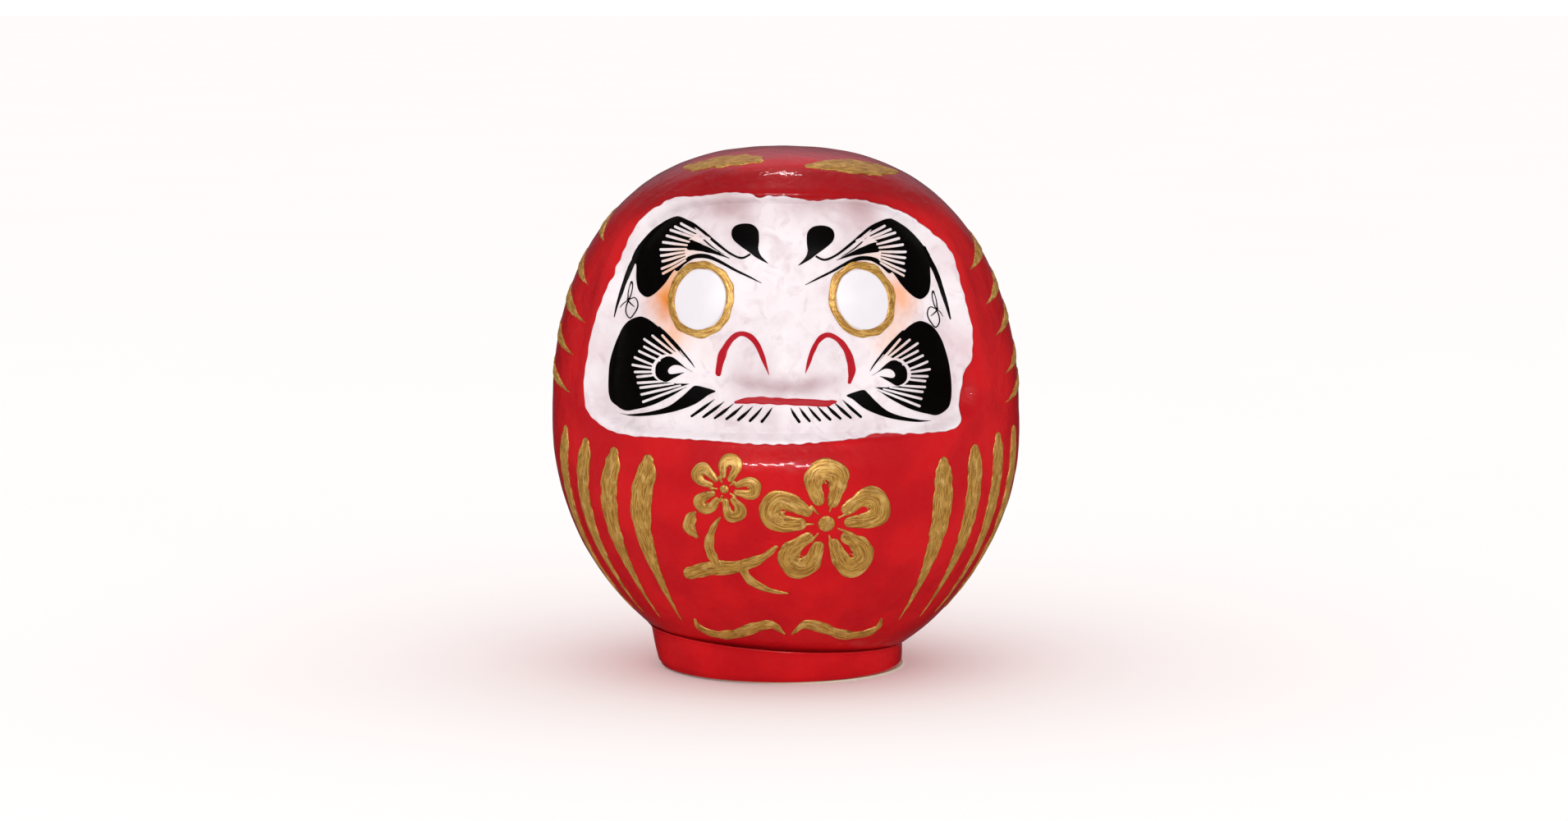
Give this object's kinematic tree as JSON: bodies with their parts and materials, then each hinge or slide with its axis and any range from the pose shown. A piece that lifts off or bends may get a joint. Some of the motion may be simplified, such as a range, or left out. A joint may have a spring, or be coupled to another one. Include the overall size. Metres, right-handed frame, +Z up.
{
  "type": "daruma doll",
  "caption": "Round hollow roly-poly doll of lacquered papier-mache on a weighted clay foot, with a recessed painted face and blank eyes; stands on a shelf as a decoration.",
  "frame": {"origin": "on the table, under the middle of the doll's overall box", "axes": "+Z up, the face looks along -Y, +X to the right of someone who faces the doll"},
  "size_m": [0.1796, 0.1811, 0.2],
  "materials": {
    "red_lacquer": "gloss",
    "foot_lacquer": "gloss",
    "bare_paper": "matte",
    "glue": "satin",
    "gofun_white": "satin",
    "eye_white": "satin",
    "ink_black": "satin",
    "gold_paint": "satin",
    "lip_red": "satin"
  },
  "bodies": {
    "root": {"front_shell": "red_lacquer", "rear_shell": "red_lacquer", "seam_strip": "bare_paper", "clay_foot": "foot_lacquer", "foot_glue": "glue", "bottom_paper": "bare_paper", "face_coat": "gofun_white", "eye_white_left": "eye_white", "eye_white_right": "eye_white", "eye_ring_left": "gold_paint", "eye_ring_right": "gold_paint", "brow_left": "ink_black", "brow_right": "ink_black", "beard_left": "ink_black", "beard_right": "ink_black", "nostril_left": "lip_red", "nostril_right": "lip_red", "mouth_line": "lip_red", "chin_whiskers": "ink_black", "hood_strokes_left": "gold_paint", "hood_strokes_right": "gold_paint", "body_stripes_left": "gold_paint", "body_stripes_right": "gold_paint", "crown_strokes": "gold_paint", "chest_flower": "gold_paint", "foot_scroll": "gold_paint"}
  },
  "joints": []
}
